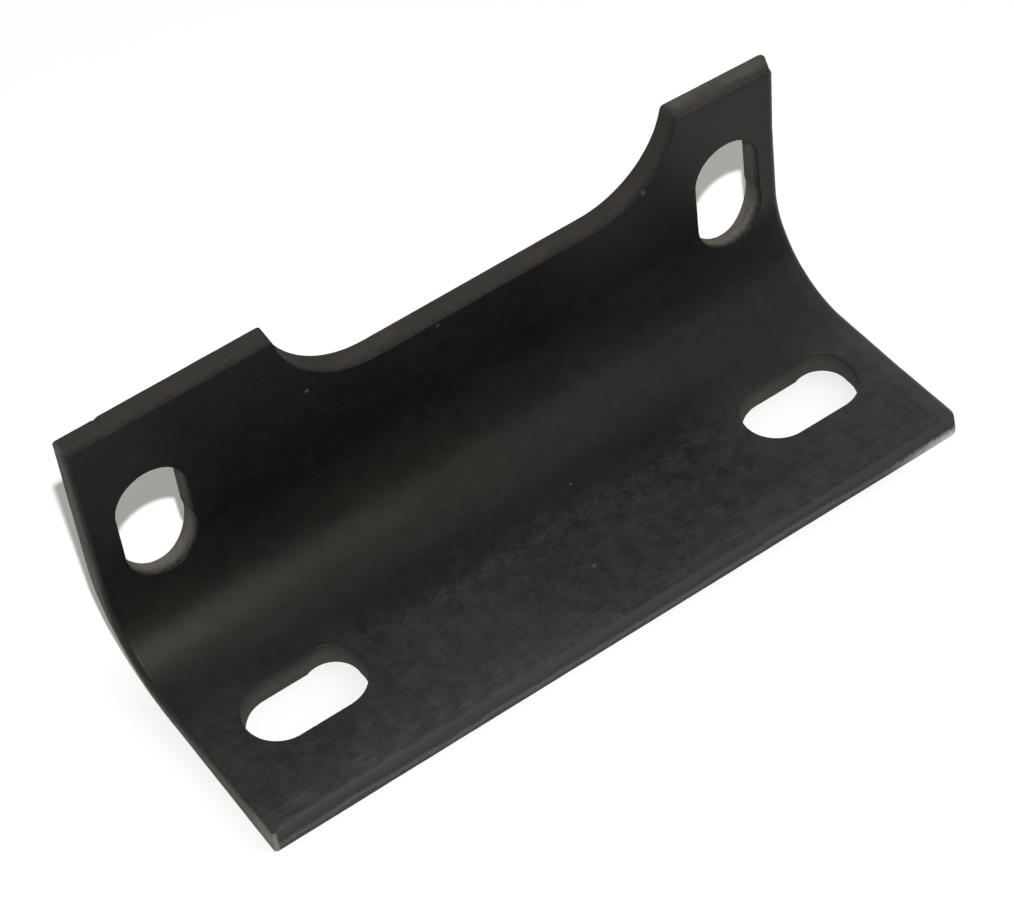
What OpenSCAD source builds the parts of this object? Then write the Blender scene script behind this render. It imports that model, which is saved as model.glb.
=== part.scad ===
// Plate angle bracket: slotted base, wide bend and an upright with two lobes and a notch.
// Origin on the underside, midway between the base slots.
// X runs along the bend, Y from the front edge to the upright, Z up.

/* [Plate] */
// length along the bend
length = 204.4; // [150:0.1:280]
// thickness of the plate
plate_t = 6.35; // [4:0.05:8]
// radius of the bend on its inner face
bend_r = 25.4; // [16:0.1:29]
// front edge to the upright's back face
base_d = 77.3; // [75:0.1:120]
// underside to the top of the left lobe
upright_h = 75.9; // [70:0.1:120]
// how far the base's left end slants out by its front edge
base_splay = 1; // [0.2:0.1:3]

/* [Slots] */
// width of all four slots
slot_w = 19.6; // [14:0.1:20.5]
// length of all four slots, end to end
slot_l = 33.5; // [26:0.1:36]
// bulge on one side of a slot's end, where the cut started
start_step = 0.6; // [0.2:0.1:1]
// left end to the centre of the left base slot
base_slot_left = 27.5; // [22:0.1:40]
// right end to the centre of the right base slot
base_slot_right = 26.7; // [22:0.1:40]
// front edge to the centre of both base slots
base_slot_front = 30.2; // [20:0.1:33]
// left end to the centre of the left upright slot
upright_slot_left = 17.4; // [14:0.1:28]
// right end to the centre of the right upright slot
upright_slot_right = 15.9; // [13.5:0.1:28]
// top of the left lobe to the centre of both upright slots
upright_slot_drop = 35; // [32:0.1:38]

/* [Lobes] */
// width of the left lobe at its top
left_lobe_w = 56.3; // [40:0.1:65]
// width of the right lobe at its top
right_lobe_w = 30.1; // [26:0.1:40]
// how far the right lobe's top lies below the left lobe's
lobe_drop = 1.6; // [0.2:0.1:4]
// top of the left lobe to the floor of the notch
notch_depth = 22.4; // [14:0.1:25]
// radius of the notch's left side
notch_left_r = 26.9; // [23:0.1:34]
// radius of the notch's right side
notch_right_r = 27.9; // [23:0.1:34]

/* [Edges] */
// radius of the base's front right corner
base_corner_r = 3; // [1:0.1:8]
// radius of the right lobe's outer corner
lobe_corner_r = 2.4; // [1:0.1:6]
// how the inner face rolls over the sheared edges: front edge, right end and right lobe
roll_r = 2.1; // [0.5:0.1:3]

/* [Hidden] */
$fn = 96;
// how far a cut runs past the faces it goes through
past = 2;
slot_r = slot_w / 2;
slot_half = slot_l / 2 - slot_r;
base_slot_gap = length - base_slot_left - base_slot_right;
left_x = -base_slot_gap / 2 - base_slot_left;
right_x = left_x + length;
front_y = -base_slot_front;
back_y = front_y + base_d;
inner_y = back_y - plate_t;
// the bend's axis, and its radius on the outer face
bend_y = inner_y - bend_r;
bend_z = plate_t + bend_r;
bend_outer_r = bend_r + plate_t;
right_h = upright_h - lobe_drop;
// a corner is at least as round as the edge that rolls over it
base_round = max(base_corner_r, roll_r);
lobe_round = max(lobe_corner_r, roll_r);
upright_slot_z = upright_h - upright_slot_drop;
// an upright slot's lower end: how far it reaches down the bend, and the turn there
slot_low_z = upright_slot_z - slot_l / 2;
slot_in_bend = max(0, bend_z - slot_low_z);
slot_above_bend = max(0, slot_low_z - bend_z);
slot_turn = slot_in_bend / bend_r * 180 / PI;
// the notch: its floor, and the axes of its two sides
notch_z = upright_h - notch_depth;
right_depth = right_h - notch_z;
notch_left_x = left_x + left_lobe_w + sqrt(pow(notch_left_r, 2) - pow(notch_left_r - notch_depth, 2));
notch_right_x = right_x - right_lobe_w
    - sqrt(pow(notch_right_r, 2) - pow(notch_right_r - right_depth, 2));

middle_x = (notch_left_x + notch_right_x) / 2;

// the folded strip seen from its end: base, bend and upright
module section() {
    translate([front_y, 0])
        square([bend_y - front_y, plate_t]);
    translate([bend_y, bend_z])
        intersection() {
            difference() {
                circle(r = bend_outer_r);
                circle(r = bend_r);
            }
            translate([0, -bend_outer_r])
                square(bend_outer_r);
        }
    translate([inner_y, bend_z])
        square([plate_t, upright_h - bend_z]);
}

module folded_strip() {
    translate([left_x - base_splay, 0, 0])
        rotate([90, 0, 90])
            linear_extrude(length + base_splay)
                section();
}

// trims the left end: square on the upright, slanting out along the base
module left_end_cut() {
    slant = base_splay / (bend_y - front_y);
    translate([0, 0, -past])
        linear_extrude(upright_h + 2 * past)
            polygon([
                [left_x, back_y + past],
                [left_x, bend_y],
                [left_x - base_splay - slant * past, front_y - past],
                [left_x - base_splay - past, front_y - past],
                [left_x - base_splay - past, back_y + past]
            ]);
}

// what a rounded corner of radius r takes off; the corner is at the origin, the plate below and left
module corner_waste(r) {
    difference() {
        translate([-r, -r])
            square(r + past);
        translate([-r, -r])
            circle(r = r);
    }
}

module base_corner_cut() {
    translate([right_x, front_y, -past])
        mirror([0, 1, 0])
            linear_extrude(plate_t + 2 * past)
                corner_waste(base_round);
}

// takes the right lobe's top down and rounds its outer corner
module right_lobe_cut() {
    translate([middle_x, inner_y - past, right_h])
        cube([right_x - middle_x + past, plate_t + 2 * past, lobe_drop + past]);
    translate([right_x, back_y + past, right_h])
        rotate([90, 0, 0])
            linear_extrude(plate_t + 2 * past)
                corner_waste(lobe_round);
}

// an edge along X that rolls over on the inner face, with the plate behind it
module roll_along_x(start, end) {
    rotate([90, 0, 90])
        translate([0, 0, start])
            linear_extrude(end - start)
                mirror([1, 0])
                    corner_waste(roll_r);
}

// a quarter turn of the roll round a corner of radius r, from +X to +Y
module roll_round_corner(r) {
    rotate_extrude(angle = 90)
        translate([r, 0])
            corner_waste(roll_r);
}

// the roll along the front edge, round its corner and up the base's right end
module base_roll_cut() {
    translate([0, front_y, plate_t])
        roll_along_x(left_x - base_splay - past, right_x - base_round);
    translate([right_x - base_round, front_y + base_round, plate_t])
        rotate([0, 0, -90])
            roll_round_corner(base_round);
    translate([right_x, bend_y, plate_t])
        rotate([90, 0, 0])
            linear_extrude(bend_y - front_y - base_round)
                corner_waste(roll_r);
}

// the roll round the bend, up the upright's right end and over the right lobe
module upright_roll_cut() {
    translate([right_x, bend_y, bend_z])
        rotate([90, 0, 90])
            rotate([0, 0, -90])
                rotate_extrude(angle = 90)
                    translate([bend_r, 0])
                        mirror([1, 0])
                            corner_waste(roll_r);
    translate([right_x, inner_y, bend_z])
        linear_extrude(right_h - lobe_round - bend_z)
            mirror([0, 1])
                corner_waste(roll_r);
    translate([right_x - lobe_round, inner_y, right_h - lobe_round])
        rotate([90, 0, 0])
            roll_round_corner(lobe_round);
    translate([0, inner_y, right_h])
        roll_along_x(middle_x, right_x - lobe_round);
}

module notch_profile() {
    translate([notch_left_x, notch_z])
        square([notch_right_x - notch_left_x, notch_depth + past]);
    translate([notch_left_x, notch_z + notch_left_r])
        circle(r = notch_left_r);
    translate([notch_right_x, notch_z + notch_right_r])
        circle(r = notch_right_r);
}

module notch_cut() {
    translate([0, back_y + past, 0])
        rotate([90, 0, 0])
            linear_extrude(plate_t + 2 * past)
                notch_profile();
}

module base_slot_cut() {
    depth = plate_t + 2 * past;
    translate([-slot_half, -slot_r, -past])
        cube([2 * slot_half, slot_w, depth]);
    for (x = [-slot_half, slot_half])
        translate([x, 0, -past])
            cylinder(r = slot_r, h = depth);
    translate([slot_half, start_step, -past])
        cylinder(r = slot_r, h = depth);
}

// an upright slot: its lower end was cut in the flat plate, so it turns with the bend
module upright_slot_cut() {
    depth = plate_t + 2 * past;
    // the upper end's axis, and the lower end's start and finish, measured from the bend's axis
    top_z = upright_slot_z + slot_half - bend_z;
    near = bend_r - past;
    far = bend_outer_r + past;
    up = slot_r + slot_above_bend;
    low_near = [near * cos(slot_turn) + up * sin(slot_turn), up * cos(slot_turn) - near * sin(slot_turn)];
    low_far = [far * cos(slot_turn) + up * sin(slot_turn), up * cos(slot_turn) - far * sin(slot_turn)];
    translate([0, bend_y, bend_z]) {
        translate([0, far, top_z])
            rotate([90, 0, 0])
                cylinder(r = slot_r, h = depth);
        translate([-slot_r, 0, 0])
            rotate([90, 0, 90])
                linear_extrude(slot_w)
                    polygon([low_near, low_far, [far, top_z], [near, top_z]]);
        rotate([-slot_turn, 0, 0])
            for (x = [0, start_step])
                translate([x, far, up])
                    rotate([90, 0, 0])
                        cylinder(r = slot_r, h = depth);
    }
}

module bracket() {
    color([0.16, 0.16, 0.17])
        difference() {
            folded_strip();
            left_end_cut();
            base_corner_cut();
            right_lobe_cut();
            base_roll_cut();
            upright_roll_cut();
            notch_cut();
            for (x = [-base_slot_gap / 2, base_slot_gap / 2])
                translate([x, 0, 0])
                    base_slot_cut();
            for (x = [left_x + upright_slot_left, right_x - upright_slot_right])
                translate([x, 0, 0])
                    upright_slot_cut();
        }
}

bracket();
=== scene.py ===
"""A bent plate bracket with four slots, in dark mill-scale steel, on a pale studio floor."""

import math
from typing import NamedTuple

import bpy
import numpy as np
from mathutils import Matrix, Vector, noise
from mathutils.geometry import delaunay_2d_cdt
from mathutils.kdtree import KDTree


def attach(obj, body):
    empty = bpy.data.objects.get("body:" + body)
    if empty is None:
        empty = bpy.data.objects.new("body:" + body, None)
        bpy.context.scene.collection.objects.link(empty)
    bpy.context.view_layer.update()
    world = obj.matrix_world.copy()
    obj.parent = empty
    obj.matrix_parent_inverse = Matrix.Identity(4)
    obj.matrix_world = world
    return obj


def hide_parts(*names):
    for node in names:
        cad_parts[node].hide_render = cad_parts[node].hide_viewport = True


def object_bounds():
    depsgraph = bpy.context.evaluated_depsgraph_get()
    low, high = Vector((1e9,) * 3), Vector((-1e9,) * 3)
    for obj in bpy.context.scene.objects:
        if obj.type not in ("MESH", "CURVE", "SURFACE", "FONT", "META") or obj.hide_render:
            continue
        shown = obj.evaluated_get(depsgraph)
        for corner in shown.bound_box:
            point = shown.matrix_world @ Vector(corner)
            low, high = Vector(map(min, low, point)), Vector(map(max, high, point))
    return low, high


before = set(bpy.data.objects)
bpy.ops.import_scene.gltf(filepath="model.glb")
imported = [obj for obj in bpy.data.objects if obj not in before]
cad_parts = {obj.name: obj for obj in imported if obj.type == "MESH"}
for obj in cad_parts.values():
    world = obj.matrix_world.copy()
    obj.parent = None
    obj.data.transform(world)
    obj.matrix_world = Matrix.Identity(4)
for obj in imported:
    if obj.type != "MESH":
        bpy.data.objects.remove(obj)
cad_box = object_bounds()

MM = 0.001

# The plate, in metres
LENGTH = 204.4 * MM
PLATE_T = 6.35 * MM
BEND_R = 25.4 * MM
BASE_D = 77.3 * MM
UPRIGHT_H = 75.9 * MM
BASE_SPLAY = 1.0 * MM

# The slots
SLOT_W = 19.6 * MM
SLOT_L = 33.5 * MM
BASE_SLOT_LEFT = 27.5 * MM
BASE_SLOT_RIGHT = 26.7 * MM
BASE_SLOT_FRONT = 30.2 * MM
UPRIGHT_SLOT_LEFT = 17.4 * MM
UPRIGHT_SLOT_RIGHT = 15.9 * MM
UPRIGHT_SLOT_DROP = 35.0 * MM

# The bulge beside one end of each slot, where its cut started; on the base it lies further ahead
START_STEP = 0.6 * MM
UPRIGHT_START_STEP = 0.35 * MM
BULGE_AHEAD = 1.7 * MM

# The lobes and the notch between them
LEFT_LOBE_W = 56.3 * MM
RIGHT_LOBE_W = 30.1 * MM
LOBE_DROP = 1.6 * MM
NOTCH_DEPTH = 22.4 * MM
NOTCH_LEFT_R = 26.9 * MM
NOTCH_RIGHT_R = 27.9 * MM

# Corners of the outline, the roll of the sheared edges and the softness of the others
BASE_CORNER_R = 3.0 * MM
LOBE_CORNER_R = 2.4 * MM
NOTCH_CORNER_R = 0.9 * MM
SHARP_CORNER_R = 0.5 * MM
ROLL_R = 2.1 * MM
ROLL_FADE = 3.0 * MM
LEFT_END_FADE = 0.5 * MM
EDGE_R = 0.3 * MM
SLOT_EDGE_R = 0.15 * MM
BACK_EDGE_R = 0.12 * MM

# How the cuts stray: flared walls, tighter base slots, the right end, the right lobe, the left lobe's nick
BACK_FLARE = 0.38 * MM
UPRIGHT_SLOT_FLARE_LOSS = 0.5
BASE_SLOT_TIGHT = 0.22 * MM
RIGHT_SPLAY = 0.35 * MM
LOBE_FLARE = 0.65 * MM
LOBE_LEAN = 1.6 * MM
LOBE_FALL = 1.15 * MM
FLARE_FROM = 22.0 * MM
NICK_AT = 11.0 * MM
NICK_W = 0.9 * MM
NICK_DEPTH = 0.55 * MM
NICK_STEP = 0.3 * MM

# Unevenness of the edges: how far it goes, its waves as (share, length in mm), and its seeds
EDGE_WANDER = 0.05 * MM
RIM_WANDER = 0.5 * SLOT_EDGE_R
BACK_EDGE_WANDER = 0.4
WANDER_WAVES = ((0.7, 7.0), (0.5, 1.9))
ROLL_SEED = 9.0
BACK_EDGE_SEED = 4.0
BACK_SEED_STEP = 40.0
LOOP_SEED_STEP = 3.0

# Spacing of the mesh along the edges, over the faces and round the bend
LINE_STEP = 0.8 * MM
ARC_STEP = 0.6 * MM
FACE_STEP = 5.0 * MM
BEND_STEP = 1.3 * MM
EDGE_ROWS = (0.8 * MM, 1.8 * MM)
ROW_CLEAR = 0.9
ROUND_STEPS = 6
WALL_STEPS = 9

# Points of an edge or a face that are closer than this are one, and the kind of filling between edges
SAME_POINT = 0.01 * MM
MERGE_WITHIN = 1e-7
TRIANGLES_INSIDE = 1

# How far the face's scale reaches down a cut wall, in mm: the least, and what each stretch adds
SKIN_LEAST = 0.3
SKIN_FRONT = 3.2
SKIN_RIGHT_END = 1.6
SKIN_LOBE_TOP = 1.5
SKIN_LEFT_END = 4.6
SKIN_SLOT = 1.3
SKIN_UPRIGHT_SLOT = 0.4
SKIN_SLOT_SIDE = -0.5
# the share of the left end's that is lost on the upright
SKIN_LEFT_LOSS = 0.62

# How light the cut metal is, from 0 to 1: the least, and what each stretch adds
LIGHT_LEAST = 0.13
LIGHT_SHEARED = 0.3
LIGHT_LEFT_END = 0.8
LIGHT_LEFT_UPRIGHT = -0.2
# the notch's side wall that faces +x, on the left lobe, is made darker: painted shade
LIGHT_NOTCH_SIDE = -0.11
LIGHT_SLOT = 0.29
LIGHT_UPRIGHT_SLOT = 0.05
LIGHT_SLOT_LOW_END = 0.58
LIGHT_SLOT_SIDE = 0.2

# Where the left end and the notch's side change: start, from the front edge, and length, in mm
LEFT_SKIN_GROWS = (0, 62)
LEFT_SKIN_THINS = (66, 20)
LEFT_DULLS = (85, 10)
NOTCH_SIDE_SHADE_SPAN = (90, 5)

# Places that follow from the sizes
BASE_SLOT_GAP = LENGTH - BASE_SLOT_LEFT - BASE_SLOT_RIGHT
LEFT_X = -BASE_SLOT_GAP / 2 - BASE_SLOT_LEFT
RIGHT_X = LEFT_X + LENGTH
FRONT_Y = -BASE_SLOT_FRONT
BEND_Y = FRONT_Y + BASE_D - PLATE_T - BEND_R
BEND_Z = PLATE_T + BEND_R
BASE_FLAT = BEND_Y - FRONT_Y
BEND_END = BASE_FLAT + BEND_R * math.pi / 2

# The camera and the lamp, from a fit to the picture's edges and shadows
IMAGE_W = 1014
PIXEL_CENTRE = 0.5
FOCAL_PX = 3517.7
SENSOR_W = 36.0
CAMERA_EYE = Vector((-0.2841, -0.4915, 0.6599))
CAMERA_TARGET = Vector((-0.0017, 0.0163, 0.0270))
CAMERA_ROLL = math.radians(8.14)
LAMP_AT = Vector((-0.2460, -0.4590, 0.7520))
LAMP_SIZE = 0.018
LAMP_STRENGTH = 0.93

# The sky: dim in front, bright to the right and behind, and bright again well below the horizon
SKY_COLOUR = (1.0, 0.98, 0.945, 1)
SKY_BRIGHT = Vector((0.9, 0.436, 0.0))
SKY_TURN = (-0.1, 0.6)
SKY_FRONT = 0.12
SKY_BACK = 0.85
SKY_LOW = 0.85
SKY_LOW_TURN = (-0.45, -0.33)

# The floor, and the faint glow that the camera sees on it
FLOOR_SIZE = 6.0
FLOOR_COLOUR = (0.92, 0.92, 0.94, 1)
FLOOR_LIFT = (0.055, 0.055, 0.030, 1)
FLOOR_ROUGHNESS = 0.9
FLOOR_SPECULAR = 0.1

# Linear colours of the scale on the base, the bend and the upright, and of the cut and worn metal and the
# pale corners; the scale's step from the lighter front to the darker bend and upright is partly its own
# tone and partly painted shade
FRONT_DARK = (0.0155, 0.0155, 0.0151, 1)
FRONT_LIGHT = (0.0235, 0.0234, 0.0227, 1)
BASE_DARK = (0.0100, 0.0100, 0.0098, 1)
BASE_LIGHT = (0.0165, 0.0164, 0.0159, 1)
BEND_DARK = (0.0085, 0.0085, 0.0083, 1)
BEND_LIGHT = (0.0124, 0.0124, 0.0121, 1)
UPRIGHT_DARK = (0.0055, 0.0052, 0.0053, 1)
UPRIGHT_LIGHT = (0.0090, 0.0085, 0.0087, 1)
CUT_DARK = (0.0145, 0.0138, 0.0122, 1)
CUT_LIGHT = (0.140, 0.128, 0.106, 1)
OLIVE = (0.86, 0.84, 0.54, 1)
# the scuff colour also paints a highlight on the right lobe's top
SCUFF_AND_SHEEN = (0.130, 0.128, 0.122, 1)
# a pale grey at the front edge's two ends
PALE_CORNER = (0.62, 0.60, 0.58, 1)
RUST = (0.085, 0.050, 0.036, 1)

# How far the lighter parts of the base go from the dark tone to the light one
LIGHTER_SHARE = 0.75

# The sheared front edge by depth in mm: rolled and burnished, lighter on the roll, partly wear and partly
# painted highlight; a dark line, a painted dark reflection on the burnished band; a light band where the
# edge tore
FRONT_WALL = (
    (0.0, (0.0340, 0.0336, 0.0312, 1)),
    (2.4, (0.0350, 0.0344, 0.0318, 1)),
    (3.0, (0.0260, 0.0254, 0.0236, 1)),
    (3.6, (0.0330, 0.0324, 0.0302, 1)),
    (4.4, (0.0720, 0.0708, 0.0666, 1)),
    (4.9, (0.0770, 0.0757, 0.0714, 1)),
    (5.5, (0.0420, 0.0414, 0.0388, 1)),
    (6.35, (0.0460, 0.0452, 0.0424, 1)),
)

# Small light specks on the inner face: place along the plate, from the front edge, and size, in mm
SPECKS = (
    (-40.1, 108.7, 0.9),
    (60.3, 111.0, 1.0),
    (2.0, 18.2, 0.8),
    (13.1, 43.5, 0.6),
    (-2.4, 105.8, 0.7),
    (-78.0, 20.5, 0.7),
)
SPECK_SHARE = 0.4
SPECK_CORE = 0.2

# The steel's sheen and relief
FACE_ROUGHNESS = (0.385, 0.415)
WALL_ROUGHNESS = 0.9
SPECULAR = 0.27
BUMP_STRENGTH = 0.25
BUMP_DISTANCE = 0.1 * MM


def developed(z):
    """Length along the inner face from the front edge to a height z on the upright."""
    return BEND_END + z - BEND_Z


def fold(x, s, depth):
    """A point of the flat plate, s from the front edge and depth below the inner face, once bent."""
    turn = min(max(s - BASE_FLAT, 0), BEND_END - BASE_FLAT) / BEND_R
    radius = BEND_R + depth
    y = BEND_Y + min(s - BASE_FLAT, 0) + radius * math.sin(turn)
    z = BEND_Z + max(s - BEND_END, 0) - radius * math.cos(turn)
    return Vector((x, y, z))


def fold_direction(s, dx, ds, ddepth):
    """A direction in the flat plate at s, once bent."""
    turn = min(max(s - BASE_FLAT, 0), BEND_END - BASE_FLAT) / BEND_R
    along = Vector((0, math.cos(turn), math.sin(turn)))
    outward = Vector((0, math.sin(turn), -math.cos(turn)))
    return Vector((dx, 0, 0)) + along * ds + outward * ddepth


def arc(centre, radius, start, end):
    """Points and outward normals of an arc; angles in degrees, falling where the plate is outside it."""
    side = 1 if end >= start else -1
    steps = max(2, math.ceil(math.radians(abs(end - start)) * radius / ARC_STEP))
    made = []
    for i in range(steps + 1):
        angle = math.radians(start + (end - start) * i / steps)
        out = Vector((math.cos(angle), math.sin(angle)))
        made.append((centre + out * radius, out * side))
    return made


def closed_loop(stretches):
    """Joins stretches of (point, normal) with straight runs into one closed loop."""
    loop = []
    for here, after in zip(stretches, stretches[1:] + stretches[:1]):
        loop += here
        (p, p_normal), (q, q_normal) = here[-1], after[0]
        steps = math.ceil((q - p).length / LINE_STEP)
        for i in range(1, steps):
            loop.append((p.lerp(q, i / steps), p_normal.lerp(q_normal, i / steps).normalized()))
    kept = [loop[0]]
    for entry in loop[1:]:
        if (entry[0] - kept[-1][0]).length > SAME_POINT:
            kept.append(entry)
    return kept


def notch_corner(notch_centre, notch_r, top, side):
    """Centre of the small round between a lobe's top and the notch, and its direction to the notch."""
    s = top - NOTCH_CORNER_R
    reach = notch_r + NOTCH_CORNER_R
    x = notch_centre.x + side * math.sqrt(reach ** 2 - (notch_centre.y - s) ** 2)
    centre = Vector((x, s))
    to_notch = notch_centre - centre
    return centre, math.degrees(math.atan2(to_notch.y, to_notch.x))


def outline():
    """The plate's outer edge, anticlockwise in the flat, from the front left corner."""
    left_top = developed(UPRIGHT_H)
    right_top = left_top - LOBE_DROP
    floor = left_top - NOTCH_DEPTH
    right_depth = NOTCH_DEPTH - LOBE_DROP
    left_reach = math.sqrt(NOTCH_LEFT_R ** 2 - (NOTCH_LEFT_R - NOTCH_DEPTH) ** 2)
    right_reach = math.sqrt(NOTCH_RIGHT_R ** 2 - (NOTCH_RIGHT_R - right_depth) ** 2)
    notch_left = Vector((LEFT_X + LEFT_LOBE_W + left_reach, floor + NOTCH_LEFT_R))
    notch_right = Vector((RIGHT_X - RIGHT_LOBE_W - right_reach, floor + NOTCH_RIGHT_R))
    left_corner, left_angle = notch_corner(notch_left, NOTCH_LEFT_R, left_top, -1)
    right_corner, right_angle = notch_corner(notch_right, NOTCH_RIGHT_R, right_top + LOBE_FALL / 2, 1)
    slant = math.degrees(math.atan2(BASE_SPLAY, BASE_FLAT))
    front_left = Vector((LEFT_X - BASE_SPLAY + SHARP_CORNER_R, SHARP_CORNER_R))
    front_right = Vector((RIGHT_X + RIGHT_SPLAY - BASE_CORNER_R, BASE_CORNER_R))
    lobe_top = right_top - LOBE_FALL / 2
    lobe_corner = Vector((RIGHT_X + LOBE_FLARE - LOBE_CORNER_R, lobe_top - LOBE_CORNER_R))
    rightwards = Vector((1, 0))
    return closed_loop([
        arc(front_left, SHARP_CORNER_R, 180 - slant, 270),
        arc(front_right, BASE_CORNER_R, 270, 360),
        [(Vector((RIGHT_X, BASE_FLAT / 2)), rightwards)],
        [(Vector((RIGHT_X, left_top - FLARE_FROM)), rightwards)],
        arc(lobe_corner, LOBE_CORNER_R, 0, 90),
        arc(right_corner, NOTCH_CORNER_R, 90, right_angle),
        arc(notch_right, NOTCH_RIGHT_R, right_angle + 180, 270),
        arc(notch_left, NOTCH_LEFT_R, 270, left_angle + 180),
        arc(left_corner, NOTCH_CORNER_R, left_angle, 90),
        arc(Vector((LEFT_X + SHARP_CORNER_R, left_top - SHARP_CORNER_R)), SHARP_CORNER_R, 90, 180),
        [(Vector((LEFT_X, BASE_FLAT)), -rightwards)],
    ])


def slot(centre, upright):
    """A slot's edge, clockwise, with the bulge where its cut started; an upright slot is turned."""
    r = SLOT_W / 2
    start_step = UPRIGHT_START_STEP if upright else START_STEP
    ahead = 0 if upright else BULGE_AHEAD
    end = Vector((SLOT_L / 2 - r, 0))
    # the bulge's own arc reaches as far as the slot's end; its centre is given from that end's
    bulge = Vector((ahead, start_step + ahead))
    meet = math.degrees(math.acos((r - bulge.y) / (r - ahead)))
    # where the two arcs cross, as an angle from the end's centre, and as a direction from the bulge's
    share = (r * bulge.x + bulge.y ** 2 / 2) / (r * bulge.length)
    cross = math.atan2(bulge.y, bulge.x) - math.acos(share)
    from_bulge = Vector((math.cos(cross), math.sin(cross))) * r - bulge
    cross_from_bulge = math.degrees(math.atan2(from_bulge.y, from_bulge.x))
    loop = closed_loop([
        arc(-end, r, 270, 90),
        arc(end + bulge, r - ahead, 90 + meet, cross_from_bulge),
        arc(end, r, math.degrees(cross), -90),
    ])
    turned = Matrix.Rotation(-math.pi / 2 if upright else 0, 2)
    return [(centre + turned @ point, turned @ normal) for point, normal in loop]


def slot_loops():
    """The edges of the two base slots and the two upright slots."""
    base = [Vector((side * BASE_SLOT_GAP / 2, BASE_SLOT_FRONT)) for side in (-1, 1)]
    slot_s = developed(UPRIGHT_H - UPRIGHT_SLOT_DROP)
    upright = [
        Vector((LEFT_X + UPRIGHT_SLOT_LEFT, slot_s)),
        Vector((RIGHT_X - UPRIGHT_SLOT_RIGHT, slot_s)),
    ]
    return [slot(c, False) for c in base] + [slot(c, True) for c in upright]


def wander(point, seed):
    """A small unevenness of a cut edge, from about -1 to 1."""
    place = Vector((point.x, point.y, seed)) / MM
    return sum(share * noise.noise(place / length) for share, length in WANDER_WAVES)


def smooth(value):
    """Eases a value from 0 to 1, and holds it there outside that span."""
    t = min(max(value, 0), 1)
    return t * t * (3 - 2 * t)


def smooth_along(s, span):
    """Eases from 0 to 1 along a span of (start, length), for s in mm from the front edge."""
    start, length = span
    return smooth((s - start) / length)


def sheared(point, normal):
    """Shares of the front edge, right end and right lobe's top, which were sheared and roll over."""
    front = max(-normal.y, 0) * smooth((point.x - LEFT_X) / ROLL_FADE)
    lobe = smooth((point.x - (RIGHT_X - RIGHT_LOBE_W)) / ROLL_FADE)
    return front, max(normal.x, 0) * lobe, max(normal.y, 0) * lobe


def back_inset(point, normal):
    """How far the back edge lies inside the inner one; negative where the wall flares out."""
    # a nick in the left lobe's back edge, and a lower step to its left
    past_nick = LEFT_X + NICK_AT - point.x
    dip = NICK_DEPTH * smooth(1 - abs(past_nick) / NICK_W) + NICK_STEP * smooth(past_nick / NICK_W)
    if point.x < RIGHT_X - LOBE_CORNER_R:
        return dip * max(normal.y, 0) - BACK_FLARE
    # the right lobe's back edge leans out, and its round corner moves with it
    lean = LOBE_LEAN * smooth((point.y - developed(UPRIGHT_H) + FLARE_FROM) / FLARE_FROM)
    if normal.x * LOBE_CORNER_R < normal.y * lean:
        return LOBE_CORNER_R - LOBE_CORNER_R / normal.y - BACK_FLARE
    shifted = lean * normal.x + math.sqrt(LOBE_CORNER_R ** 2 - (lean * normal.y) ** 2)
    return LOBE_CORNER_R - shifted - BACK_FLARE


class EdgeForm(NamedTuple):
    """How one point of an edge is shaped, how deep its scale reaches and how light its cut metal is."""

    roll: float = 0.0
    skin: float = 0.0
    bright: float = 0.0
    inset: float = 0.0
    rim: float = 0.0


def outline_form(point, normal):
    """The outer edge: sheared at the front, right end and right lobe, cut square on the other sides."""
    front, right, top = sheared(point, normal)
    share = min(math.hypot(front, right, top), 1)
    left = smooth((LEFT_X + LEFT_END_FADE - point.x) / LEFT_END_FADE)
    s = point.y / MM
    thinned = 1 - SKIN_LEFT_LOSS * smooth_along(s, LEFT_SKIN_THINS)
    left_skin = SKIN_LEFT_END * smooth_along(s, LEFT_SKIN_GROWS) * thinned
    sheared_skin = SKIN_LEAST + SKIN_FRONT * front + SKIN_RIGHT_END * right + SKIN_LOBE_TOP * top
    skin = sheared_skin + left * left_skin
    # painted shade on the notch's side wall that faces +x, on the upright
    notch_side_shade = max(normal.x, 0) * (1 - share) * smooth_along(s, NOTCH_SIDE_SHADE_SPAN)
    left_light = LIGHT_LEFT_END + LIGHT_LEFT_UPRIGHT * smooth_along(s, LEFT_DULLS)
    bright = LIGHT_LEAST + LIGHT_SHEARED * share + left * left_light + LIGHT_NOTCH_SIDE * notch_side_shade
    return EdgeForm(EDGE_R + (ROLL_R - EDGE_R) * share, skin * MM, bright, back_inset(point, normal))


def slot_form(point, normal):
    """A slot's cut edge; the lower ends of the upright's slots are the lightest."""
    upright = smooth((point.y - BASE_FLAT) / BEND_R)
    low_end = upright * max(normal.y, 0)
    side = upright * max(-normal.x, 0)
    skin = SKIN_SLOT + SKIN_UPRIGHT_SLOT * upright + SKIN_SLOT_SIDE * side
    plain = LIGHT_SLOT + LIGHT_UPRIGHT_SLOT * upright
    bright = plain + LIGHT_SLOT_LOW_END * low_end + LIGHT_SLOT_SIDE * side
    rim = -BASE_SLOT_TIGHT * (1 - upright)
    flare = BACK_FLARE * (1 - UPRIGHT_SLOT_FLARE_LOSS * upright)
    return EdgeForm(SLOT_EDGE_R, skin * MM, bright, rim - flare, rim)


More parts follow.
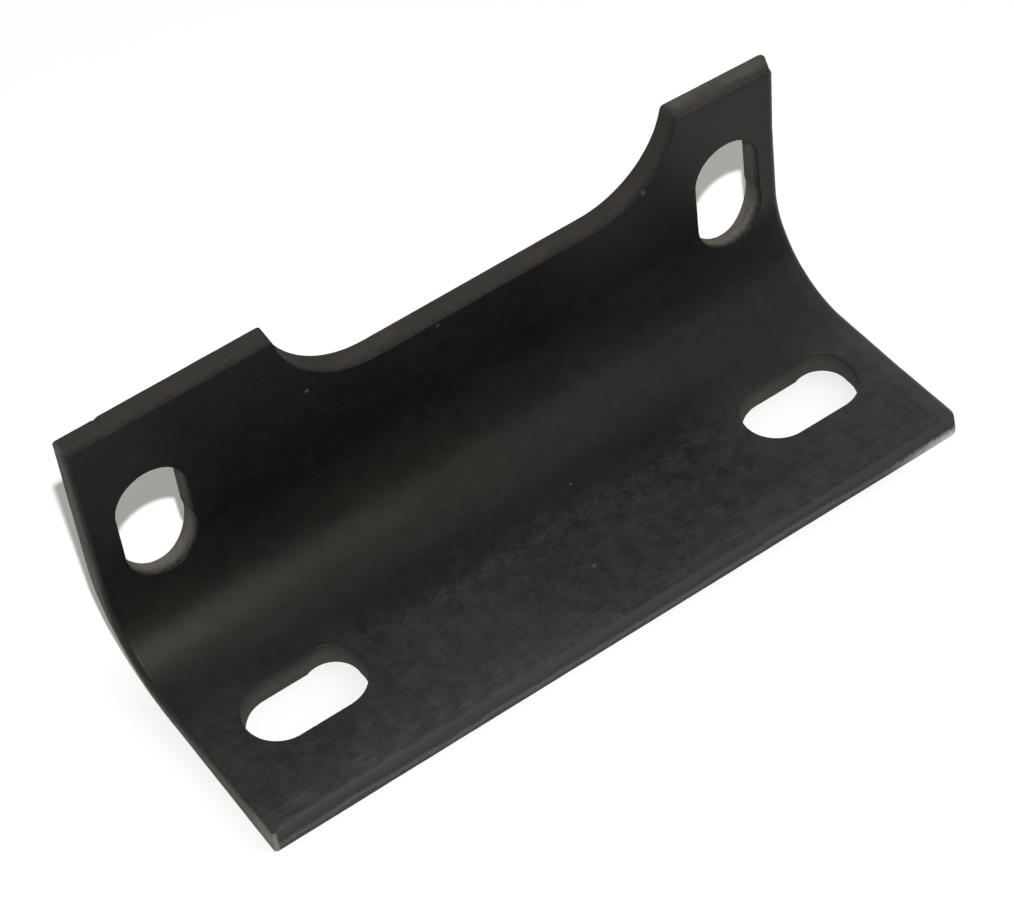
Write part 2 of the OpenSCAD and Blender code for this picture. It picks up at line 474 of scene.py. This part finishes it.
class PlateMesh:
    """Collects the bent plate's points, normals, faces and the values that its material reads."""

    def __init__(self):
        self.points, self.normals, self.faces = [], [], []
        self.flat, self.wall, self.skin, self.bright = [], [], [], []

    def add(self, x, s, depth, direction, wall=0.0, form=EdgeForm()):
        self.points.append(fold(x, s, depth))
        self.normals.append(fold_direction(s, *direction).normalized())
        self.flat.append((x, s, depth))
        self.wall.append(wall)
        self.skin.append(form.skin)
        self.bright.append(form.bright)
        return len(self.points) - 1

    def ring(self, loop, forms, inset, depth, rise, wall):
        """One ring of an edge's rounding: rise is the normal's share towards the plate's nearer face."""
        made = []
        for (point, normal), form, step_in, down in zip(loop, forms, inset, depth):
            p = point - normal * step_in
            direction = (normal.x * wall, normal.y * wall, rise)
            made.append(self.add(p.x, p.y, down, direction, wall, form))
        return made

    def bridge(self, above, below):
        count = len(above)
        for i in range(count):
            j = (i + 1) % count
            self.faces.append((above[i], below[i], below[j], above[j]))

    def edge_rings(self, loop, forms, seed):
        """Inner edge, wall and outer edge of one loop; returns the rings that bound the two faces."""
        edge = [(point, form) for (point, _), form in zip(loop, forms)]
        inner_r = [form.roll + RIM_WANDER * wander(point, ROLL_SEED) for point, form in edge]
        back_wander = [BACK_EDGE_WANDER * wander(point, BACK_EDGE_SEED) for point, _ in edge]
        outer_r = [BACK_EDGE_R * (1 + uneven) for uneven in back_wander]
        back_seed = seed + BACK_SEED_STEP
        inner_shift = [form.rim + EDGE_WANDER * (1 + wander(point, seed)) for point, form in edge]
        outer_shift = [form.inset + EDGE_WANDER * (1 + wander(point, back_seed)) for point, form in edge]
        rings = []
        for i in range(ROUND_STEPS + 1):
            angle = math.pi / 2 * i / ROUND_STEPS
            inset = [c + r * (1 - math.sin(angle)) for r, c in zip(inner_r, inner_shift)]
            depth = [r * (1 - math.cos(angle)) for r in inner_r]
            rings.append(self.ring(loop, forms, inset, depth, -math.cos(angle), math.sin(angle)))
        for i in range(1, WALL_STEPS):
            t = i / WALL_STEPS
            inset = [a + (b - a) * t for a, b in zip(inner_shift, outer_shift)]
            depth = [a + (PLATE_T - b - a) * t for a, b in zip(inner_r, outer_r)]
            rings.append(self.ring(loop, forms, inset, depth, 0.0, 1.0))
        for i in range(ROUND_STEPS, -1, -1):
            angle = math.pi / 2 * i / ROUND_STEPS
            inset = [c + r * (1 - math.sin(angle)) for r, c in zip(outer_r, outer_shift)]
            depth = [PLATE_T - r * (1 - math.cos(angle)) for r in outer_r]
            rings.append(self.ring(loop, forms, inset, depth, math.cos(angle), math.sin(angle)))
        for above, below in zip(rings, rings[1:]):
            self.bridge(above, below)
        return rings[0], rings[-1]

    def face(self, loops, rings, depth, rise):
        """Fills one face between its bounding rings, with the points that the bend needs."""
        corners = [i for ring in rings for i in ring]
        polygons = [[Vector(self.flat[i][:2]) for i in ring] for ring in rings]
        flat = [point for polygon in polygons for point in polygon]
        edges = []
        first = 0
        for ring in rings:
            edges += [(first + i, first + (i + 1) % len(ring)) for i in range(len(ring))]
            first += len(ring)
        places = face_points(loops, polygons)
        made = delaunay_2d_cdt(flat + places, edges, [], TRIANGLES_INSIDE, MERGE_WITHIN)
        coords, triangles, sources = made[0], made[2], made[3]
        names = []
        for coord, source in zip(coords, sources):
            if source and source[0] < len(corners):
                names.append(corners[source[0]])
            else:
                names.append(self.add(coord.x, coord.y, depth, (0, 0, rise)))
        middles = [sum((coords[i] for i in triangle), Vector((0, 0))) / 3 for triangle in triangles]
        for triangle, solid in zip(triangles, inside_plate(middles, polygons)):
            if not solid:
                continue
            turned = triangle if rise < 0 else tuple(reversed(triangle))
            self.faces.append(tuple(names[i] for i in turned))


def face_points(loops, polygons):
    """Points inside a face's edges: rows beside the edges, and a grid that is finer round the bend."""
    tree = KDTree(sum(len(polygon) for polygon in polygons))
    for i, point in enumerate(point for polygon in polygons for point in polygon):
        tree.insert(point.to_3d(), i)
    tree.balance()
    rows = []
    s = FACE_STEP / 2
    while s < developed(UPRIGHT_H):
        rows.append(s)
        s += BEND_STEP if BASE_FLAT - BEND_STEP < s < BEND_END + BEND_STEP else FACE_STEP
    columns = math.ceil(LENGTH / FACE_STEP)
    clear = EDGE_ROWS[-1] + FACE_STEP / 3
    grid = [Vector((LEFT_X + (i + 0.5) * LENGTH / columns, s)) for s in rows for i in range(columns)]
    places = [p for p in grid if tree.find(p.to_3d())[2] > clear]
    for loop, polygon in zip(loops, polygons):
        for row in EDGE_ROWS:
            beside = [p - normal * row for p, (_, normal) in zip(polygon[::2], loop[::2])]
            places += [p for p in beside if tree.find(p.to_3d())[2] > ROW_CLEAR * row]
    return [p for p, solid in zip(places, inside_plate(places, polygons)) if solid]


def inside_plate(points, polygons):
    """Even-odd test of many flat points against the outline and the slots together."""
    points = np.array(points)
    inside = np.zeros(len(points), bool)
    for polygon in polygons:
        corners = np.array(polygon)
        for p, q in zip(corners, np.roll(corners, -1, axis=0)):
            spans = (p[1] > points[:, 1]) != (q[1] > points[:, 1])
            if p[1] != q[1]:
                crossing = p[0] + (q[0] - p[0]) * (points[:, 1] - p[1]) / (q[1] - p[1])
                inside ^= spans & (points[:, 0] < crossing)
    return inside


def make_plate():
    """The bent plate as one mesh, with exact normals and the values that its material reads."""
    loops = [outline()] + slot_loops()
    forms = [[outline_form(*entry) for entry in loops[0]]]
    forms += [[slot_form(*entry) for entry in loop] for loop in loops[1:]]
    plate = PlateMesh()
    bounds = []
    for i, (loop, form) in enumerate(zip(loops, forms)):
        bounds.append(plate.edge_rings(loop, form, LOOP_SEED_STEP * i))
    plate.face(loops, [inner for inner, _ in bounds], 0.0, -1.0)
    plate.face(loops, [outer for _, outer in bounds], PLATE_T, 1.0)

    mesh = bpy.data.meshes.new("bracket_plate")
    mesh.from_pydata(plate.points, [], plate.faces)
    mesh.update()
    for name, values in (("wall", plate.wall), ("skin", plate.skin), ("bright", plate.bright)):
        mesh.attributes.new(name, "FLOAT", "POINT").data.foreach_set("value", values)
    flat = mesh.attributes.new("flat", "FLOAT_VECTOR", "POINT")
    flat.data.foreach_set("vector", [v for entry in plate.flat for v in entry])
    mesh.polygons.foreach_set("use_smooth", [True] * len(mesh.polygons))
    mesh.normals_split_custom_set_from_vertices(plate.normals)
    piece = bpy.data.objects.new("bracket_plate", mesh)
    bpy.context.scene.collection.objects.link(piece)
    return piece


class Nodes:
    """Short names for building a node tree."""

    def __init__(self, tree):
        self.tree = tree

    def add(self, kind, inputs, **settings):
        made = self.tree.nodes.new(kind)
        for name, value in settings.items():
            setattr(made, name, value)
        for key, value in inputs.items():
            self.set(made, key, value)
        return made

    def set(self, node, key, value):
        named = [s for s in node.inputs if s.identifier == key]
        socket = named[0] if named else node.inputs[key]
        if isinstance(value, bpy.types.NodeSocket):
            self.tree.links.new(value, socket)
        else:
            socket.default_value = value

    def attribute(self, name, output="Fac"):
        return self.add("ShaderNodeAttribute", {}, attribute_name=name).outputs[output]

    def math(self, operation, a, b):
        return self.add("ShaderNodeMath", {0: a, 1: b}, operation=operation).outputs[0]

    def plus(self, a, b):
        return self.math("ADD", a, b)

    def minus(self, a, b):
        return self.math("SUBTRACT", a, b)

    def times(self, a, b):
        return self.math("MULTIPLY", a, b)

    def most(self, a, b):
        return self.math("MAXIMUM", a, b)

    def stretch(self, vector, scale):
        return self.add("ShaderNodeMapping", {"Vector": vector, "Scale": scale}).outputs[0]

    def noise(self, vector, scale, detail=3.0, roughness=0.55):
        inputs = {"Vector": vector, "Scale": scale, "Detail": detail, "Roughness": roughness}
        return self.add("ShaderNodeTexNoise", inputs).outputs["Fac"]

    def step(self, value, low, high, start=0.0, end=1.0, kind="SMOOTHSTEP"):
        """Goes from start at low to end at high, and holds there outside that span."""
        inputs = {"Value": value, "From Min": low, "From Max": high, "To Min": start, "To Max": end}
        return self.add("ShaderNodeMapRange", inputs, interpolation_type=kind).outputs["Result"]

    def band(self, value, low, high, soft):
        """1 between low and high, easing out over soft on both sides."""
        rise = self.step(value, low - soft, low)
        return self.times(rise, self.step(value, high, high + soft, 1.0, 0.0))

    def ramp(self, value, stops):
        """A colour ramp through stops of (place, colour), in the value's own measure."""
        low, high = stops[0][0], stops[-1][0]
        share = self.math("DIVIDE", self.minus(value, low), high - low)
        made = self.add("ShaderNodeValToRGB", {"Fac": share})
        elements = made.color_ramp.elements
        elements[0].color, elements[1].color = stops[0][1], stops[-1][1]
        for place, colour in stops[1:-1]:
            elements.new((place - low) / (high - low)).color = colour
        return made.outputs["Color"]

    def mix(self, factor, a, b, clamped=True, blend_type="MIX"):
        inputs = {"Factor_Float": factor, "A_Color": a, "B_Color": b}
        settings = {"data_type": "RGBA", "clamp_factor": clamped, "blend_type": blend_type}
        made = self.add("ShaderNodeMix", inputs, **settings)
        return next(s for s in made.outputs if s.identifier == "Result_Color")

    def blend(self, factor, a, b):
        inputs = {"Factor_Float": factor, "A_Float": a, "B_Float": b}
        made = self.add("ShaderNodeMix", inputs, data_type="FLOAT")
        return next(s for s in made.outputs if s.identifier == "Result_Float")


class PlateNodes(Nodes):
    """The steel's nodes, with the place on the flat plate in mm and the textures that several looks use."""

    def __init__(self, tree):
        super().__init__(tree)
        inputs = {0: self.attribute("flat", "Vector"), 1: (1 / MM, 1 / MM, 1 / MM)}
        self.place = self.add("ShaderNodeVectorMath", inputs, operation="MULTIPLY").outputs[0]
        self.x, self.s, self.depth = self.add("ShaderNodeSeparateXYZ", {0: self.place}).outputs
        self.wall = self.attribute("wall")
        self.bright = self.attribute("bright")
        self.mottle = self.noise(self.place, 0.24, 5.0, 0.62)
        self.grain = self.noise(self.place, 1.9, 2.0)
        self.pits = self.noise(self.place, 0.9, 4.0, 0.7)
        self.tone = self.blend(0.55, self.noise(self.place, 0.035), self.mottle)
        ragged = self.step(self.noise(self.place, 0.8, 3.0, 0.6), 0.25, 0.75, -0.45, 0.45)
        skin = self.math("DIVIDE", self.attribute("skin"), MM)
        # how far a point of a wall lies below the scale's ragged end
        self.reach = self.plus(self.minus(self.depth, skin), ragged)

    def away(self, centre, half=0.0):
        """Distance on the plate from a point, or from a line through it that runs half to each side."""
        dx = self.math("ABSOLUTE", self.minus(self.x, centre[0]), 0.0)
        dx = self.most(self.minus(dx, half), 0.0)
        ds = self.minus(self.s, centre[1])
        return self.math("SQRT", self.plus(self.times(dx, dx), self.times(ds, ds)), 0.0)


def scale_colour(m):
    """Mill scale: lighter at the front, lighter on the base's left and round its slots, dark on the
    upright; the step down to the upright is partly painted shade.
    """
    behind_front = m.step(m.s, 0.0, 16.0)
    bent = m.step(m.s, 35.0, 46.0)
    upright = m.step(m.s, 64.0, 69.0)
    # the tones step darker from the front to the bend and the upright: partly the scale's own tone, partly
    # painted shade
    dark = m.mix(behind_front, FRONT_DARK, BASE_DARK)
    dark = m.mix(upright, m.mix(bent, dark, BEND_DARK), UPRIGHT_DARK)
    light = m.mix(behind_front, FRONT_LIGHT, BASE_LIGHT)
    light = m.mix(upright, m.mix(bent, light, BEND_LIGHT), UPRIGHT_LIGHT)

    lighter_parts = m.times(m.step(m.x, 5.0, -40.0, 0.0, LIGHTER_SHARE), m.step(m.s, 31.0, 38.0, 1.0, 0.0))
    for side in (-1, 1):
        centre = (side * BASE_SLOT_GAP / 2 / MM, BASE_SLOT_FRONT / MM)
        from_slot = m.away(centre, (SLOT_L - SLOT_W) / 2 / MM)
        lighter_parts = m.most(lighter_parts, m.step(from_slot, 12.0, 26.0, LIGHTER_SHARE, 0.0))
    patches = m.step(m.noise(m.place, 0.2, 5.0, 0.8), 0.25, 0.75, -1.3, 1.3)
    # painted shade: darker over the middle of the left lobe on the upright
    left_lobe_shade = m.times(m.step(m.x, -10.0, -40.0), m.step(m.x, -72.0, -92.0, 1.0, 0.0))
    # painted reflection and shade on the right end's roll: lighter below s 74 mm, darker above 84 mm
    right_end_reflection = m.times(m.step(m.x, 95.5, 98.5), m.step(m.s, 74.0, 84.0, 1.4, -0.8))
    shade = m.plus(m.step(m.tone, 0.36, 0.64), lighter_parts)
    shade = m.plus(shade, m.step(m.grain, 0.25, 0.75, -0.5, 0.5))
    shade = m.plus(shade, m.times(patches, m.step(m.s, 34.0, 46.0, 1.0, 0.2)))
    shade = m.minus(shade, m.times(m.times(left_lobe_shade, upright), 0.5))
    face = m.mix(m.plus(shade, right_end_reflection), dark, light, clamped=False)

    olive = m.times(m.band(m.s, 57.0, 72.0, 6.0), m.step(m.x, 48.0, -30.0, 0.25, 1.0))
    return m.mix(olive, face, OLIVE, blend_type="MULTIPLY")


def scuffs_and_sheen(m, face):
    """Light wear: streaks along the front, a line between the slots, flecks, specks; and a painted
    highlight on the lobe's top.
    """
    streaks = m.noise(m.stretch(m.place, (0.09, 1.2, 1.2)), 1.0, 4.0, 0.7)
    flecks = m.noise(m.stretch(m.place, (0.5, 1.0, 1.0)), 1.1, 3.0, 0.65)
    along_front = m.times(m.band(m.s, 2.2, 5.0, 1.5), m.step(m.x, 60.0, 20.0, 0.06, 0.16))
    cluster = m.times(m.band(m.s, 2.0, 6.0, 1.0), m.band(m.x, -82.0, -76.0, 3.0))
    scuffs = m.times(m.plus(along_front, m.times(cluster, 0.3)), m.step(streaks, 0.48, 0.68))
    rear_line = m.times(m.band(m.s, 33.5, 35.5, 1.0), m.band(m.x, -44.0, 47.0, 6.0))
    rear_line = m.times(m.step(flecks, 0.46, 0.64), m.times(rear_line, 0.10))
    fine = m.times(m.step(flecks, 0.60, 0.74), m.step(m.s, 34.0, 40.0, 0.11, 0.05))
    scuffs = m.most(scuffs, m.most(fine, rear_line))
    for across, along, size in SPECKS:
        spot = m.step(m.away((across, along)), SPECK_CORE * size, size, SPECK_SHARE, 0.0)
        scuffs = m.most(scuffs, spot)
    face = m.mix(m.times(scuffs, m.step(m.depth, 0.3, 0.9, 1.0, 0.0)), face, SCUFF_AND_SHEEN)

    # painted highlight at the top of the right lobe, where its rolled edge begins
    lobe_top = m.times(m.step(m.x, 70.0, 74.0), m.step(m.s, 122.0, 125.0, 0.0, 0.1))
    return m.mix(m.times(lobe_top, m.step(m.wall, 0.0, 0.25)), face, SCUFF_AND_SHEEN)


def cut_colour(m):
    """The metal of the cut walls, banded and pitted, with a little rust."""
    bands = m.noise(m.stretch(m.place, (0.05, 0.05, 0.6)), 1.0, 2.0)
    tone = m.times(m.step(m.blend(0.5, bands, m.pits), 0.3, 0.7, 0.55, 1.15), m.bright)
    rusty = m.step(m.noise(m.place, 0.12), 0.5, 0.7, 0.0, 0.18)
    return m.mix(rusty, m.mix(tone, CUT_DARK, CUT_LIGHT), RUST)


def front_wall_bands_and_sheen(m, colour):
    """Lays the sheared front edge's bands over a colour, with their painted highlight and painted dark
    reflection.
    """
    sway = m.step(m.noise(m.stretch(m.place, (0.03, 0.0, 0.0)), 1.0, 2.0), 0.3, 0.7, -0.5, 0.5)
    roughened = m.step(m.noise(m.place, 0.8, 4.0, 0.7), 0.3, 0.7, -0.35, 0.35)
    # the front edge's bands, with a painted highlight on the roll and a painted dark reflection in the
    # burnished band
    tear_and_sheen = m.ramp(m.plus(m.plus(m.depth, sway), roughened), FRONT_WALL)
    front = m.times(m.step(m.s, 1.3, 0.5), m.step(m.x, -103.2, -102.2))
    return m.mix(m.times(front, m.step(m.wall, 0.1, 0.6)), colour, tear_and_sheen)


def pale_corners(m, colour):
    """Lays a pale grey over the walls at the front edge's two ends."""
    right = m.times(m.step(m.x, 76.0, 102.0, 0.0, 0.8), m.step(m.reach, -0.4, 2.9))
    right = m.times(right, m.step(m.s, 2.0, 8.0, 1.0, 0.0))
    left = m.times(m.step(m.x, -102.2, -102.9), m.step(m.s, 4.0, 12.0, 0.12, 0.0))
    return m.mix(m.times(m.plus(right, left), m.step(m.wall, 0.5, 1.0)), colour, PALE_CORNER)


def steel():
    """Mill scale, lighter and worn on the base, with cut walls, sheared edges, pale corners, and painted
    shade, highlights and reflections.
    """
    material = bpy.data.materials.new("mill_scale_steel")
    material.use_nodes = True
    m = PlateNodes(material.node_tree)
    surface = m.tree.nodes["Principled BSDF"]

    exposed = m.times(m.step(m.reach, -1.8, 2.1), m.step(m.wall, 0.15, 0.8))
    colour = m.mix(exposed, scuffs_and_sheen(m, scale_colour(m)), cut_colour(m))
    m.set(surface, "Base Color", pale_corners(m, front_wall_bands_and_sheen(m, colour)))
    m.set(surface, "Specular IOR Level", SPECULAR)
    rough_face = m.step(m.tone, 0.3, 0.7, *FACE_ROUGHNESS)
    m.set(surface, "Roughness", m.blend(m.step(m.wall, 0.6, 1.0), rough_face, WALL_ROUGHNESS))

    height = m.plus(m.times(m.grain, 0.5), m.mottle)
    height = m.plus(height, m.times(m.times(m.pits, exposed), 1.5))
    relief = {"Strength": BUMP_STRENGTH, "Distance": BUMP_DISTANCE, "Height": height}
    m.set(surface, "Normal", m.add("ShaderNodeBump", relief).outputs["Normal"])
    return material


def make_floor():
    """A pale floor that keeps the shadow; the plate's own reflections see the low sky instead."""
    bpy.ops.mesh.primitive_plane_add(size=FLOOR_SIZE, location=(0, 0, cad_box[0].z))
    floor = bpy.context.object
    floor.name = "studio_floor"
    material = bpy.data.materials.new("pale_floor")
    material.use_nodes = True
    m = Nodes(material.node_tree)
    surface = m.tree.nodes["Principled BSDF"]
    m.set(surface, "Base Color", FLOOR_COLOUR)
    m.set(surface, "Roughness", FLOOR_ROUGHNESS)
    m.set(surface, "Specular IOR Level", FLOOR_SPECULAR)
    path = m.add("ShaderNodeLightPath", {}).outputs
    seen = m.plus(path["Is Camera Ray"], path["Is Glossy Ray"])
    m.set(surface, "Emission Color", FLOOR_LIFT)
    m.set(surface, "Emission Strength", m.plus(seen, path["Is Transmission Ray"]))
    floor.data.materials.append(material)
    floor.visible_glossy = False


def make_lamp():
    """A small lamp near the camera, as strong far off as it is close by."""
    lamp = bpy.data.lights.new("key", "AREA")
    lamp.shape = "DISK"
    lamp.size = LAMP_SIZE
    lamp.use_nodes = True
    n = Nodes(lamp.node_tree)
    falloff = n.add("ShaderNodeLightFalloff", {"Strength": LAMP_STRENGTH})
    n.set(n.tree.nodes["Emission"], "Strength", falloff.outputs["Constant"])
    key = bpy.data.objects.new("key", lamp)
    key.location = LAMP_AT
    key.rotation_mode = "QUATERNION"
    key.rotation_quaternion = (CAMERA_TARGET - LAMP_AT).to_track_quat("-Z", "Y")
    bpy.context.scene.collection.objects.link(key)


def make_sky():
    """The studio's soft light, by direction."""
    world = bpy.data.worlds.new("studio")
    bpy.context.scene.world = world
    world.use_nodes = True
    n = Nodes(world.node_tree)
    toward = n.add("ShaderNodeTexCoord", {}).outputs["Generated"]
    lean = n.add("ShaderNodeVectorMath", {0: toward, 1: SKY_BRIGHT}, operation="DOT_PRODUCT")
    around = n.step(lean.outputs["Value"], *SKY_TURN, SKY_FRONT, SKY_BACK)
    height = n.add("ShaderNodeSeparateXYZ", {0: toward}).outputs["Z"]
    below = n.step(height, *SKY_LOW_TURN, SKY_LOW, 0.0, kind="LINEAR")
    background = n.tree.nodes["Background"]
    n.set(background, "Color", SKY_COLOUR)
    n.set(background, "Strength", n.most(around, below))


def make_camera():
    """The camera at the picture's angle; its shift puts the fit's pixel centres on the render's."""
    data = bpy.data.cameras.new("camera")
    data.sensor_fit = "HORIZONTAL"
    data.sensor_width = SENSOR_W
    data.lens = FOCAL_PX / IMAGE_W * SENSOR_W
    data.shift_x = -PIXEL_CENTRE / IMAGE_W
    data.shift_y = PIXEL_CENTRE / IMAGE_W
    camera = bpy.data.objects.new("camera", data)
    look = (CAMERA_TARGET - CAMERA_EYE).to_track_quat("-Z", "Y").to_matrix().to_4x4()
    roll = Matrix.Rotation(-CAMERA_ROLL, 4, "Z")
    camera.matrix_world = Matrix.Translation(CAMERA_EYE) @ look @ roll
    bpy.context.scene.collection.objects.link(camera)
    bpy.context.scene.camera = camera


plate = make_plate()
plate.data.materials.append(steel())
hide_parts("bracket")
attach(plate, "root")
make_floor()
make_lamp()
make_sky()
make_camera()
bpy.context.scene.view_settings.view_transform = "Standard"
